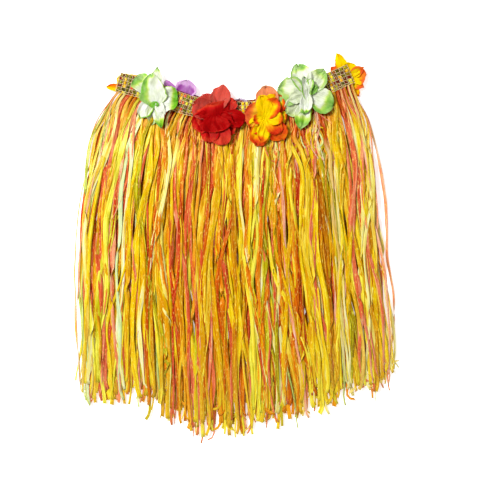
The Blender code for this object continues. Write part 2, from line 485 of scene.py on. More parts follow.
class Raffia(Enum):
    """The dyes of the raffia, each with its share of the strands."""

    # The third colour, where one is given, is that dye's painted highlight.
    SUN = ("sun", 0.35, RaffiaFinish(dyed(254, 213, 0), dyed(226, 150, 0)))
    GOLD = ("gold", 0.19, RaffiaFinish(dyed(242, 172, 0), dyed(186, 102, 0)))
    AMBER = ("amber", 0.14, RaffiaFinish(dyed(240, 124, 0), dyed(192, 62, 0), dyed(255, 190, 40)))
    CORAL = ("coral", 0.10, RaffiaFinish(dyed(240, 104, 58), dyed(200, 44, 6), dyed(255, 180, 140)))
    BLUSH = ("blush", 0.04, RaffiaFinish(dyed(255, 160, 122), dyed(230, 92, 48), dyed(255, 224, 200)))
    STRAW = ("straw", 0.07, RaffiaFinish(dyed(255, 234, 104), dyed(236, 174, 12), dyed(255, 252, 200)))
    LIME = ("lime", 0.07, RaffiaFinish(dyed(204, 190, 0), dyed(140, 112, 0)))
    MINT = ("mint", 0.04, RaffiaFinish(dyed(212, 230, 126), dyed(150, 166, 44), dyed(232, 250, 200)))

    def __init__(self, label: str, share: float, finish: RaffiaFinish) -> None:
        """Name the fields of a dye.

        Args:
            label: Its name in the names of pieces.
            share: Its share of the strands.
            finish: Its look.
        """
        self.label = label
        self.share = share
        self.finish = finish


PASTELS = (Raffia.CORAL, Raffia.BLUSH, Raffia.MINT)


# ---------------------------------------------------------------------------------- layout


@dataclass(frozen=True)
class BandSection:
    """A place on the middle line of the band: how far across, and how far up."""

    across: float
    rise: float


@dataclass(frozen=True)
class DropSection:
    """Heights of the two rows of strands at a distance below the band."""

    down: float
    back_floor: float
    back_crown: float
    front_floor: float
    front_crown: float


@dataclass(frozen=True)
class FlareSection:
    """How far the strands at the two folds have swung sideways at a distance below the band."""

    down: float
    left: float
    right: float


class Side(Enum):
    """The two rows that the pressed skirt lies in."""

    FRONT = "front"
    BACK = "back"


@dataclass
class Lay:
    """How the skirt lies: the band's line, and the way that strands leave it.

    sections are points of the band's middle line from the left fold to the right one, and smoothing
    the samples to each side that its direction is taken over. drops give the space that each row
    fills, flares the way that its edges swing out, and lengths the usual lengths of the strands at
    even steps along the band. middles and ups are the sampled line.
    """

    band_height: float = 0.033
    back_rise: float = 0.003
    back_level: float = 0.00625
    front_level: float = 0.01025
    samples: int = 240
    smoothing: int = 8
    sections: tuple[BandSection, ...] = (
        BandSection(-0.1955, 0.0487),
        BandSection(-0.1427, 0.0338),
        BandSection(-0.0850, 0.0116),
        BandSection(-0.0388, 0.0028),
        BandSection(0.0058, 0.0000),
        BandSection(0.0470, 0.0050),
        BandSection(0.0883, 0.0182),
        BandSection(0.1295, 0.0363),
        BandSection(0.1576, 0.0503),
        BandSection(0.1840, 0.0619),
    )
    drops: tuple[DropSection, ...] = (
        DropSection(0.000, 0.0050, 0.0075, 0.0090, 0.0115),
        DropSection(0.014, 0.0050, 0.0080, 0.0090, 0.0122),
        DropSection(0.034, 0.0047, 0.0085, 0.0092, 0.0140),
        DropSection(0.070, 0.0010, 0.0086, 0.0092, 0.0168),
        DropSection(0.130, 0.0010, 0.0092, 0.0098, 0.0190),
        DropSection(0.210, 0.0010, 0.0092, 0.0098, 0.0195),
        DropSection(0.300, 0.0010, 0.0086, 0.0092, 0.0185),
        DropSection(0.380, 0.0010, 0.0078, 0.0084, 0.0170),
        DropSection(0.444, 0.0010, 0.0066, 0.0072, 0.0140),
        DropSection(0.498, 0.0010, 0.0040, 0.0046, 0.0085),
    )
    flares: tuple[FlareSection, ...] = (
        FlareSection(0.000, 0.0000, 0.0000),
        FlareSection(0.015, -0.0115, 0.0045),
        FlareSection(0.060, -0.0300, 0.0205),
        FlareSection(0.130, -0.0490, 0.0355),
        FlareSection(0.200, -0.0625, 0.0450),
        FlareSection(0.260, -0.0680, 0.0530),
        FlareSection(0.330, -0.0690, 0.0615),
        FlareSection(0.420, -0.0690, 0.0725),
        FlareSection(0.500, -0.0700, 0.0790),
    )
    lengths: tuple[float, ...] = (
        0.521, 0.508, 0.490, 0.512, 0.520, 0.517, 0.505, 0.500, 0.500, 0.503, 0.500,
    )
    middles: list[Vector] = field(default_factory=list)
    ups: list[Vector] = field(default_factory=list)

    def __post_init__(self) -> None:
        """Sample the band's line evenly, and put it where the CAD band lies."""
        curve = self.smooth_line(steps=12)
        lengths = [(b - a).length for a, b in zip(curve, curve[1:])]
        total = sum(lengths)
        index = 0
        passed = 0.0
        for step in range(self.samples + 1):
            goal = total * step / self.samples
            while index < len(lengths) - 1 and passed + lengths[index] < goal:
                passed += lengths[index]
                index += 1
            part = (goal - passed) / lengths[index]
            self.middles.append(curve[index].lerp(curve[index + 1], part))
        for step in range(self.samples + 1):
            ahead = self.middles[min(step + self.smoothing, self.samples)]
            behind = self.middles[max(step - self.smoothing, 0)]
            along = (ahead - behind).normalized()
            self.ups.append(Vector((-along.y, along.x)))
        low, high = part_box("waistband")
        edges = []
        for middle, up in zip(self.middles, self.ups):
            edges += [middle + up * side * self.band_height / 2 for side in (-1, 1)]
        own_low = Vector((min(e.x for e in edges), min(e.y for e in edges)))
        shift = Vector((low[0], low[1])) - own_low
        shift.x = (low[0] + high[0]) / 2 - (min(e.x for e in edges) + max(e.x for e in edges)) / 2
        self.middles = [m + shift for m in self.middles]

    def smooth_line(self, steps: int) -> list[Vector]:
        """A Catmull-Rom curve through the band's sections.

        Args:
            steps: Points for each stretch.

        Returns:
            Its points.
        """
        points = [Vector((s.across, s.rise)) for s in self.sections]
        ends = [2 * points[0] - points[1], *points, 2 * points[-1] - points[-2]]
        line = []
        for before, start, end, after in zip(ends, ends[1:], ends[2:], ends[3:]):
            for step in range(steps):
                t = step / steps
                straight = 2 * start + t * (end - before)
                bend = t * t * (2 * before - 5 * start + 4 * end - after)
                line.append((straight + bend + t**3 * (3 * start - before - 3 * end + after)) / 2)
        return [*line, points[-1]]

    def band_at(self, share: float) -> tuple[Vector, Vector]:
        """The band's middle at a share of its length.

        Args:
            share: From 0 at the left fold to 1 at the right one.

        Returns:
            The middle, and the unit direction towards the waist.
        """
        place = min(max(share, 0.0), 1.0) * self.samples
        index = min(int(place), self.samples - 1)
        part = place - index
        middle = self.middles[index].lerp(self.middles[index + 1], part)
        return middle, self.ups[index].lerp(self.ups[index + 1], part).normalized()

    def heights(self, side: Side, down: float) -> tuple[float, float]:
        """The space that a row of strands takes up.

        Args:
            side: The row.
            down: The distance below the band.

        Returns:
            The row's floor and crown there.
        """
        down = min(max(down, 0.0), self.drops[-1].down)
        for above, below in zip(self.drops, self.drops[1:]):
            if down <= below.down:
                break
        part = (down - above.down) / (below.down - above.down)
        pairs = []
        for section in (above, below):
            if side is Side.FRONT:
                pairs.append(Vector((section.front_floor, section.front_crown)))
            else:
                pairs.append(Vector((section.back_floor, section.back_crown)))
        blended = pairs[0].lerp(pairs[1], part)
        return blended.x, blended.y

    def swing(self, share: float, down: float) -> float:
        """How far a strand has swung sideways.

        Args:
            share: Its place along the band.
            down: The distance below the band.

        Returns:
            The distance to the right.
        """
        downs = tuple(flare.down for flare in self.flares)
        values = tuple(flare.left + (flare.right - flare.left) * share for flare in self.flares)
        return curve_at(downs, values, down)

    def length(self, share: float) -> float:
        """The usual length of the strands.

        Args:
            share: Their place along the band.

        Returns:
            The length.
        """
        place = min(max(share, 0.0), 1.0) * (len(self.lengths) - 1)
        index = min(int(place), len(self.lengths) - 2)
        part = place - index
        return self.lengths[index] * (1 - part) + self.lengths[index + 1] * part


def add_piece(
    name: str,
    builder: bmesh.types.BMesh,
    material: bpy.types.Material,
    slot: str,
    replaces: list[str],
    wall: float = 0.0,
    sharp: float = 60.0,
) -> bpy.types.Object:
    """Make a mesh a finished piece that rides on the skirt.

    Args:
        name: The piece's name.
        builder: Its mesh, which is used up.
        material: Its finish.
        slot: The slot of that finish; not used.
        replaces: CAD nodes that it stands for.
        wall: Thickness to give a surface, or 0 where it is closed already.
        sharp: The angle past which an edge shows as a crease.

    Returns:
        The piece.
    """
    mesh = bpy.data.meshes.new(name)
    builder.to_mesh(mesh)
    builder.free()
    mesh.materials.append(material)
    mesh.shade_smooth()
    mesh.set_sharp_from_angle(angle=math.radians(sharp))
    piece = bpy.data.objects.new(name, mesh)
    bpy.context.scene.collection.objects.link(piece)
    if wall:
        thicken = piece.modifiers.new("wall", "SOLIDIFY")
        thicken.thickness = wall
        thicken.offset = 0.0
    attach(piece, "root")
    if replaces:
        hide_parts(*replaces)
    log.info("%s: %d faces", name, len(mesh.polygons))
    return piece


@dataclass
class Surface:
    """A mesh in the making, with the values that its finish reads."""

    builder: bmesh.types.BMesh = field(default_factory=bmesh.new)
    names: tuple[str, ...] = ("across", "along", "tone", "depth")
    layers: dict[str, bmesh.types.BMLayerItem] = field(default_factory=dict)

    def __post_init__(self) -> None:
        """Give the mesh a layer for each value."""
        for name in self.names:
            self.layers[name] = self.builder.verts.layers.float.new(name)

    def grid(self, across: int, along: int) -> list[tuple[bmesh.types.BMVert, float, int]]:
        """Add a flat grid to be shaped.

        Args:
            across: Faces across.
            along: Faces along.

        Returns:
            Each point, with its place across from -1 to 1 and its row.
        """
        made = bmesh.ops.create_grid(self.builder, x_segments=across, y_segments=along, size=1.0)
        places = []
        for vert in made["verts"]:
            places.append((vert, vert.co.x, round((vert.co.y + 1) / 2 * along)))
        return places

    def mark(self, vert: bmesh.types.BMVert, **values: float) -> None:
        """Set a point's values by name."""
        for name, value in values.items():
            vert[self.layers[name]] = value


# ---------------------------------------------------------------------------------- strands


@dataclass(frozen=True)
class Wave:
    """A smooth unevenness along a ribbon, with a noise of its own."""

    size: float
    pitch: float
    offset: float

    def at(self, seed: float, run: float, line: int = 0) -> float:
        """Read it.

        Args:
            seed: The ribbon's seed.
            run: The distance along the ribbon.
            line: Which of the lines that run along the ribbon it is for.

        Returns:
            Its value there, from about -size to size.
        """
        return self.size * sway(seed + self.offset + line, run / self.pitch)


@dataclass
class Strand:
    """One ribbon of raffia, from its knot in the band to its cut end.

    knot is where it leaves the band and share where it hangs, both as shares of the band. level is
    how high it lies in its row, lean how far its end has drifted, and hook how far its tip turns.
    turns are the places where it is twisted, each with its way. depth is how much painted shade it
    takes as it lies low in its row, tangle how much it squirms below the band, gather how narrow its
    knot is, looseness how freely it wanders. steering is how far it runs while it turns back to its
    place in the row, and lowest how near the table it may come.
    """

    knot: float
    share: float
    length: float
    width: float
    level: float
    lean: float
    seed: float
    hook: float
    turns: list[tuple[float, float]]
    depth: float
    tangle: float
    gather: float
    looseness: float
    crease: float = 0.075
    knot_depth: float = 0.003
    hook_length: float = 0.022
    turn_length: float = 0.018
    steering: float = 0.09
    usual_fold: float = 0.55
    usual_width: float = 0.86
    least_width: float = 0.35
    lowest: float = 0.0006
    wander: ClassVar[Wave] = Wave(0.011, 0.200, 3.0)
    bend: ClassVar[Wave] = Wave(0.18, 0.110, 0.0)
    quiver: ClassVar[Wave] = Wave(0.06, 0.035, 1.0)
    snarl: ClassVar[Wave] = Wave(1.0, 0.034, 7.0)
    heave: ClassVar[Wave] = Wave(0.14, 0.120, 5.0)
    tilt: ClassVar[Wave] = Wave(0.5, 0.085, 11.0)
    breadth: ClassVar[Wave] = Wave(0.32, 0.060, 17.0)
    fold: ClassVar[Wave] = Wave(0.6, 0.080, 23.0)
    bow: ClassVar[Wave] = Wave(0.16, 0.100, 31.0)
    pleat: ClassVar[Wave] = Wave(0.08, 0.020, 41.0)
    fray: ClassVar[Wave] = Wave(0.06, 0.050, 57.0)

    def route(self, lay: Lay, side: Side, steps: int) -> list[tuple[Vector, Vector, float]]:
        """Follow the ribbon down the skirt.

        Args:
            lay: How the skirt lies.
            side: The row that it lies in.
            steps: Stretches to divide it into.

        Returns:
            For each end of a stretch: its middle, the direction to its right, the distance run.
        """
        middle, up = lay.band_at(self.knot)
        place = middle - up * (lay.band_height / 2 - self.knot_depth)
        start = place.copy()
        even, _ = lay.band_at(self.share)
        stride = self.length / steps
        rows = []
        probe = 0.004
        for step in range(steps + 1):
            run = step * stride
            down = start.y - place.y
            free = ease(0.0, 0.04, run)
            loose = free * (1 + 0.9 * ease(0.12, 0.03, run))
            goal = start.x + (even.x - start.x) * ease(0.0, 0.09, down)
            goal += lay.swing(self.share, down) + self.lean * ease(0.02, 0.40, down)
            goal += self.wander.at(self.seed, run) * free * self.looseness
            slope = lay.swing(self.share, down + probe) - lay.swing(self.share, down)
            angle = math.atan2(slope, probe)
            angle += (goal - place.x) / self.steering * ease(0.0, 0.05, down)
            angle += (self.bend.at(self.seed, run) + self.quiver.at(self.seed, run)) * loose
            angle += self.tangle * self.snarl.at(self.seed, run) * free * ease(0.13, 0.05, run)
            angle += self.hook * max(run - self.length + self.hook_length, 0.0) / self.hook_length
            ahead = Vector((math.sin(angle), -math.cos(angle)))
            floor, crown = lay.heights(side, down)
            level = self.level + self.heave.at(self.seed, run)
            height = floor + (crown - floor) * min(max(level, 0.02), 1.0)
            right = Vector((-ahead.y, ahead.x, 0.0))
            rows.append((Vector((place.x, place.y, height)), right, run))
            place = place + ahead * stride
        return rows

    def roll(self, run: float) -> float:
        """How far the ribbon has turned about its own length.

        Args:
            run: The distance along it.

        Returns:
            The angle in radians.
        """
        turned = self.tilt.at(self.seed, run) * ease(0.0, 0.05, run)
        for place, way in self.turns:
            turned += way * math.pi * ease(place - self.turn_length, place + self.turn_length, run)
        return turned

    def spread(self, run: float) -> float:
        """The ribbon's width: gathered at the knot, uneven below it and worn at the hem.

        Args:
            run: The distance along it.

        Returns:
            The width.
        """
        gathered = self.gather + (1 - self.gather) * ease(0.0, 0.070, run)
        uneven = self.usual_width + self.breadth.at(self.seed, run)
        worn = 1 - 0.3 * ease(0.38, 0.50, run)
        return self.width * gathered * worn * max(uneven, self.least_width)

    def shade(self, run: float) -> float:
        """How much painted shade it takes: most among the tufts at the band, least at the hem.

        Args:
            run: The distance along it.

        Returns:
            The share, which may pass 1.
        """
        # Painted shade: darker among the tufts below the band, most on the right of the band, at the left
        # shoulder and for strands lying low; lighter towards the hem.
        tufts = ease(0.10, 0.0, run)
        hem = ease(0.34, 0.46, run)
        below_band = (0.28 + 0.72 * ease(0.64, 0.76, self.share)) * tufts
        left_shoulder = 0.55 * ease(0.15, 0.07, self.share) * ease(0.17, 0.02, run)
        dusk = (below_band + left_shoulder) * (1.7 - 1.4 * self.level)
        return self.depth * (1 + (1.8 + 3.0 * self.tangle) * tufts - 0.8 * hem) + dusk

    def add_to(self, surface: Surface, lay: Lay, side: Side, across: int, along: int) -> None:
        """Shape a grid into the ribbon, with sharp folds lengthwise that come and go.

        Args:
            surface: The mesh to add it to.
            lay: How the skirt lies.
            side: The row that it lies in.
            across: Faces across.
            along: Faces along.
        """
        rows = self.route(lay, side, along)
        for vert, u, row in surface.grid(across, along):
            middle, right, run = rows[row]
            width = self.spread(run)
            line = round((u + 1) / 2 * across)
            ridge = 1 - 2 * (line % 2)
            fold = ridge * (self.usual_fold + self.fold.at(self.seed, run, line))
            bow = self.bow.at(self.seed, run) * (1 - u * u)
            pleat = self.pleat.at(self.seed, run, line)
            reach = width * (0.5 * u + self.fray.at(self.seed, run, line))
            crease = self.crease * (1 - 0.7 * ease(0.15, 0.45, run))
            lift = width * (crease * fold + bow + pleat)
            roll = self.roll(run)
            sideways = reach * math.cos(roll) - lift * math.sin(roll)
            upwards = reach * math.sin(roll) + lift * math.cos(roll)
            place = middle + right * sideways
            place.z = max(place.z + upwards, self.lowest)
            vert.co = place
            surface.mark(
                vert,
                across=u * self.width / 2 + self.seed,
                along=run,
                tone=tone_of(self.seed),
                depth=self.shade(run),
            )


@dataclass
class Curtain:
    """One row of strands, in a piece for each dye.

    across and along are the faces of a ribbon. ribbon is its usual width, narrowed and widened by
    shares from narrowest to widest. ends are how much the longest pass the row's usual length and
    how far the shortest fall behind them. drift and hook are how far ends usually stray and turn,
    and hooked the share of them that turn by strong_hook. flushes are stretches of the band where
    all strands are coral, and stray_knots where the short crossing ends come out.
    """

    lay: Lay
    side: Side
    count: int
    columns: int
    nodes: list[str]
    seed: int
    across: int = 4
    along: int = 64
    ribbon: float = 0.0076
    width_spread: float = 0.40
    narrowest: float = 0.4
    widest: float = 1.6
    wall: float = 0.0003
    gather: float = 0.40
    longer: float = 0.0
    ends: tuple[float, float] = (0.016, 0.046)
    # How much painted shade the lowest strands take.
    painted_shade: float = 0.72
    drift: float = 0.019
    hook: float = 0.42
    hooked: float = 0.07
    strong_hook: tuple[float, float] = (1.0, 2.6)
    turn_margin: float = 0.03
    evenness: float = 0.80
    pastel_longer: float = 0.006
    pastel_width: float = 0.75
    margin_narrowing: float = 0.45
    flushes: tuple[tuple[float, float], ...] = ()
    strays: int = 0
    stray_knots: tuple[float, ...] = (0.62, 0.74, 0.77, 0.79, 0.82)

    def strands(self) -> Iterator[tuple[Raffia, Strand]]:
        """Every strand of the row from left to right, and then the short ends that cross them.

        Yields:
            Its dye, and the strand.
        """
        chance = random.Random(self.seed)
        last: Raffia | None = None
        for number in range(self.count):
            strand = self.strand(number, chance)
            dye = last = self.dye(strand.share, last, chance)
            if dye in PASTELS:
                strand.length += self.pastel_longer
                strand.width *= self.pastel_width
            margin = max(ease(0.05, 0.0, strand.share), ease(0.94, 1.0, strand.share))
            strand.width *= 1 - self.margin_narrowing * margin
            if any(low < strand.share < high for low, high in self.flushes):
                dye = Raffia.CORAL
            yield dye, strand
        for number in range(self.strays):
            strand = self.stray(number, chance)
            yield chance.choice((Raffia.STRAW, Raffia.BLUSH, Raffia.SUN, Raffia.MINT)), strand

    def faded(self, share: float) -> float:
        """How washed out the dyes are near the folds, from 0 to 1."""
        return max(ease(0.08, 0.0, share), ease(0.86, 0.97, share))

    def heart(self, share: float) -> float:
        """How near a place is to the middle, where the colours are warmest, from 0 to 1."""
        return math.exp(-((share - 0.48) / 0.22) ** 2)

    def strand(self, number: int, chance: random.Random) -> Strand:
        """Draw a strand.

        Args:
            number: Its number from the left.
            chance: The row's random draws.

        Returns:
            The strand.
        """
        share = (number + chance.uniform(0.1, 0.9)) / self.count
        column = math.floor(share * self.columns)
        knot = (column + chance.uniform(0.24, 0.76)) / self.columns
        lean = chance.gauss(0.0, self.drift)
        inward = ease(0.12, 0.0, share) - ease(0.88, 1.0, share)
        lean = (lean + inward * abs(lean)) * (1 - 0.55 * abs(inward))
        length = self.lay.length(share)
        turns = []
        for _ in range(chance.choice((0, 0, 1, 1, 2))):
            place = chance.uniform(self.turn_margin, length - self.turn_margin)
            turns.append((place, chance.choice((-1.0, 1.0))))
        hook = chance.gauss(0.0, self.hook)
        if chance.random() < self.hooked:
            hook = chance.choice((-1, 1)) * chance.uniform(*self.strong_hook)
        level = chance.random() ** 0.6
        tangle = ease(0.68, 0.76, share) * ease(0.90, 0.82, share)
        # Less painted shade near the folds.
        painted_light = max(0.5 * ease(0.08, 0.0, share), ease(0.86, 0.97, share))
        sunk = 1 - ease(0.0, 0.8, level) if self.side is Side.FRONT else 1.0
        sunk = max(sunk, 0.6 * tangle * chance.random())
        longest = length + self.longer + self.ends[0]
        shorter = self.ends[1] * chance.random() ** 0.8
        breadth = chance.lognormvariate(-0.02, self.width_spread)
        return Strand(
            knot=knot,
            share=share,
            length=longest - shorter,
            width=self.ribbon * min(max(breadth, self.narrowest), self.widest),
            level=level,
            lean=lean,
            seed=number * 1.37 + self.seed,
            hook=hook,
            turns=turns,
            # Painted shade: more for strands low in the row, less near the folds, a little more towards the
            # middle.
            depth=self.painted_shade * sunk * (1 - 0.85 * painted_light) + 0.06 * self.heart(share),
            tangle=tangle,
            gather=self.gather,
            looseness=1 - 0.7 * abs(inward),
        )

    def dye(self, share: float, last: Raffia | None, chance: random.Random) -> Raffia:
        """Draw a strand's dye: seldom its neighbour's, pale at the folds, warm in the middle.

        Args:
            share: Its place along the band.
            last: The dye of the strand to its left.
            chance: The row's random draws.

        Returns:
            The dye.
        """
        dyes = list(Raffia)
        weights = [dye.share for dye in dyes]
        drawn = chance.choices(dyes, weights)[0]
        if drawn is last or (drawn in PASTELS and last in PASTELS):
            drawn = chance.choices(dyes, weights)[0]
        if chance.random() < 0.7 * self.faded(share):
            tinge = Raffia.MINT if share < 0.5 else Raffia.BLUSH
            return chance.choice((Raffia.STRAW, Raffia.STRAW, Raffia.BLUSH, tinge))
        if chance.random() < 0.12 * self.heart(share):
            return chance.choice((Raffia.AMBER, Raffia.CORAL, Raffia.LIME))
        return drawn

    def stray(self, number: int, chance: random.Random) -> Strand:
        """Draw a short fine end that crosses the others just below the band.

        Args:
            number: Its number.
            chance: The row's random draws.

        Returns:
            The strand.
        """
        share = chance.choice(self.stray_knots) + chance.gauss(0.0, 0.02)
        return Strand(
            knot=share,
            share=share + chance.gauss(0.01, 0.02),
            length=chance.uniform(0.05, 0.12),
            width=self.ribbon * chance.uniform(0.25, 0.5),
            level=1.0,
            lean=chance.gauss(0.03, 0.06),
            seed=number * 2.3 + self.seed,
            hook=chance.gauss(0.0, 1.2),
            turns=[],
            depth=0.0,
            tangle=chance.uniform(0.2, 0.9),
            gather=0.6,
            looseness=1.0,
        )

    def build(
        self, materials: dict[Raffia, bpy.types.Material], rests_on: list[str]
    ) -> list[bpy.types.Object]:
        """Make the row's pieces.

        Args:
            materials: The finish of each dye.
            rests_on: What the row lies on; not used.

        Returns:
            The pieces.
        """
        surfaces = {dye: Surface() for dye in Raffia}
        areas = dict.fromkeys(Raffia, 0.0)
        for dye, strand in self.strands():
            strand.add_to(surfaces[dye], self.lay, self.side, self.across, self.along)
            areas[dye] += self.evenness * strand.width * strand.length
        drop = self.lay.length(0.5)
        pieces = []
        for dye, surface in surfaces.items():
            name = f"strands_{self.side.value}_{dye.label}"
            piece = add_piece(
                name, surface.builder, materials[dye], "raffia", self.nodes, self.wall, 45.0
            )
            pieces.append(piece)
        return pieces


# ---------------------------------------------------------------------------------- waistband


@dataclass
class Waistband:
    """Bunches of raffia held side by side by rows of chained thread.

    columns are the bunches along one side of the pressed loop, and fold_columns those that turn
    round each fold. rows are the heights of the thread rows as shares of the band's height.
    half_round is half the loop's length, bunch and backing the widths of a bunch and of a dark strip
    behind each gap, painted shade where the gaps show the inside of the loop, puff how far a bunch
    bulges out, and cell_dyes the dyes with their weights, of which maroon and olive are partly painted
    shade in recessed cells.
    """

    lay: Lay
    columns: int = 63
    fold_columns: int = 1
    rows: tuple[float, ...] = (-0.485, -0.375, -0.215, -0.04, 0.135, 0.31, 0.485)
    half_round: float = 0.400
    thread_radius: float = 0.00037
    thread_lift: float = 0.0016
    chain_radius: float = 0.00024
    chain_lift: float = 0.0013
    twist: float = 0.0004
    bunch: float = 0.0052
    bunch_lift: float = 0.0002
    bunch_wall: float = 0.0006
    puff: float = 0.0009
    shade_strip: float = 0.0068
    shade_strip_lift: float = -0.0007
    shade_strip_wall: float = 0.0003
    seed: int = 5
    cell_dyes: tuple[tuple[str, int], ...] = (
        ("sun", 4),
        ("gold", 6),
        ("straw", 1),
        ("lime", 6),
        ("amber", 1),
        ("coral", 1),
        # maroon and olive cells are partly painted shade in recessed cells.
        ("maroon", 10),
        ("olive", 9),
    )

    def place(self, share: float, height: float, lift: float) -> Vector:
        """A point on the loop.

        Args:
            share: From 0 to 1 along the front, left to right, and from 1 to 2 back underneath.
            height: From -0.5 at the lower edge to 0.5 at the upper one.
            lift: Distance out of the loop from the middle of its wall.

        Returns:
            The point.
        """
        share %= 2.0
        front = share <= 1.0
        along = share if front else 2.0 - share
        middle, up = self.lay.band_at(along)
        half = (self.lay.front_level - self.lay.back_level) / 2
        fold = min(along, 1.0 - along) * self.columns / self.fold_columns
        around = math.pi / 2 * min(fold, 1.0)
        outward = Vector((up.y, -up.x)) * (1.0 if along > 0.5 else -1.0)
        level = self.lay.back_level + half
        reach = (half + lift) * math.cos(around)
        rise = (half + lift) * math.sin(around)
        flat = middle + outward * reach + up * height * self.lay.band_height
        if not front:
            flat += up * self.lay.back_rise * math.sin(math.pi * along)
        return Vector((flat.x, flat.y, level + rise if front else level - rise))

    def build_cells(self, materials: dict[str, bpy.types.Material]) -> list[bpy.types.Object]:
        """The raffia that shows between the threads, puffed out in every mesh of the knitting.

        Args:
            materials: The finish of each dye, by name.

        Returns:
            A piece for each dye.
        """
        chance = random.Random(self.seed)
        names = [name for name, _ in self.cell_dyes]
        weights = [weight for _, weight in self.cell_dyes]
        surfaces = {name: Surface() for name in names}
        for number in range(2 * self.columns):
            usual = chance.choices(names, weights)[0]
            for span in zip(self.rows, self.rows[1:]):
                name = usual if chance.random() < 0.6 else chance.choices(names, weights)[0]
                width = self.bunch * chance.uniform(0.8, 1.1)
                self.add_cell(surfaces[name], number, span, width, self.bunch_lift, self.puff)
        pieces = []
        for name, surface in surfaces.items():
            piece = add_piece(
                f"band_{name}", surface.builder, materials[name], "band_knit", ["waistband"], self.bunch_wall
            )
            pieces.append(piece)
        return pieces

    def build_shade_strips(self, material: bpy.types.Material) -> bpy.types.Object:
        """Dark strips behind the gaps in the knitting: painted shade inside the loop.

        Args:
            material: Its finish.

        Returns:
            The piece.
        """
        surface = Surface()
        for number in range(2 * self.columns):
            self.add_cell(surface, number + 0.5, (-0.5, 0.5), self.shade_strip, self.shade_strip_lift, 0.0)
        return add_piece(
            "band_shade_strips", surface.builder, material, "band_knit", ["waistband"], self.shade_strip_wall
        )

    def add_cell(
        self,
        surface: Surface,
        number: float,
        span: tuple[float, float],
        width: float,
        lift: float,
        puff: float,
    ) -> None:
        """Shape a grid into a patch that runs up the band.

        Args:
            surface: The mesh to add it to.
            number: Its column, counted round the whole loop.
            span: Where it starts and ends up the band.
            width: Its width.
            lift: How far out of the loop its edges lie.
            puff: How much further its middle puffs out.
        """
        seed = number * 0.71 + span[0] * 5.3
        steps = 4
        for vert, u, row in surface.grid(4, steps):
            part = row / steps
            height = span[0] + (span[1] - span[0]) * part
            puffed = math.sin(math.pi * part)
            half = width / 2 * (0.8 + 0.2 * puffed)
            share = (number + 0.5 + 0.10 * sway(seed, height * 2)) / self.columns
            share += u * half / self.half_round
            crown = (1 - u * u) * (0.0004 + puff * puffed)
            crown += 0.0003 * sway(seed + 9 + 2 * u, height * 7) * min(puff / 0.0005, 1.0)
            vert.co = self.place(share, height, lift + crown)
            surface.mark(
                vert,
                across=u * half + seed,
                along=height * self.lay.band_height,
                tone=tone_of(seed),
                depth=0.0,
            )

    def build_threads(self, material: bpy.types.Material) -> list[bpy.types.Object]:
        """The rows of chained thread, two strands to a row, and the chains that run up between them.

        Args:
            material: Their finish.

        Returns:
            A piece for each row, and one for the chains.
        """
        pieces = []
        for row in range(len(self.rows)):
            lines = [list(self.row_thread(row, phase)) for phase in (0.0, math.pi)]
            builder = cords(lines, self.thread_radius, True)
            piece = add_piece(f"band_thread_{row + 1}", builder, material, "band_knit", ["waistband"])
            pieces.append(piece)
        chains = [list(self.chain(number)) for number in range(2 * self.columns)]
        builder = cords(chains, self.chain_radius, False)
        pieces.append(add_piece("band_chains", builder, material, "band_knit", ["waistband"]))
        return pieces

    def row_thread(self, row: int, phase: float) -> Iterator[Vector]:
        """One thread round the whole loop.

        Args:
            row: Its row, from the lowest.
            phase: Where in its wave it starts, in radians.

        Yields:
            The points of its middle line.
        """
        steps = 2 * self.columns * 4
        for step in range(steps):
            share = 2.0 * step / steps
            turn = share * self.columns * math.pi + phase
            height = self.rows[row] + 0.009 * math.sin(2 * turn) + 0.010 * sway(row + 0.5, share * 14)
            yield self.place(share, height, self.thread_lift + self.twist * math.cos(2 * turn))

    def chain(self, number: int) -> Iterator[Vector]:
        """One thread up the band, between two columns.

        Args:
            number: Its column, counted round the whole loop.

        Yields:
            The points of its middle line.
        """
        steps = 24
        for step in range(steps + 1):
            height = -0.49 + 0.98 * step / steps
            aside = 0.10 * math.sin(step * 2.1) + 0.12 * sway(number * 0.53, height * 3)
            lift = self.chain_lift + self.twist * math.cos(step * math.pi / 2)
            yield self.place((number + aside) / self.columns, height, lift)


def cords(lines: list[list[Vector]], radius: float, closed: bool) -> bmesh.types.BMesh:
    """Round cords along lines.

    Args:
        lines: The points of each cord's middle line.
        radius: The cords' radius.
        closed: Whether each line's end joins its start.

    Returns:
        The mesh of them all.
    """
    curve = bpy.data.curves.new("cords", "CURVE")
    curve.dimensions = "3D"
    curve.bevel_depth = radius
    curve.bevel_resolution = 1
    curve.use_fill_caps = True
    for line in lines:
        spline = curve.splines.new("POLY")
        spline.points.add(len(line) - 1)
        for point, place in zip(spline.points, line):
            point.co = (*place, 1.0)
        spline.use_cyclic_u = closed
    holder = bpy.data.objects.new("cords", curve)
    mesh = bpy.data.meshes.new_from_object(holder)
    builder = bmesh.new()
    builder.from_mesh(mesh)
    bpy.data.objects.remove(holder)
    bpy.data.curves.remove(curve)
    bpy.data.meshes.remove(mesh)
    return builder


# ---------------------------------------------------------------------------------- flowers


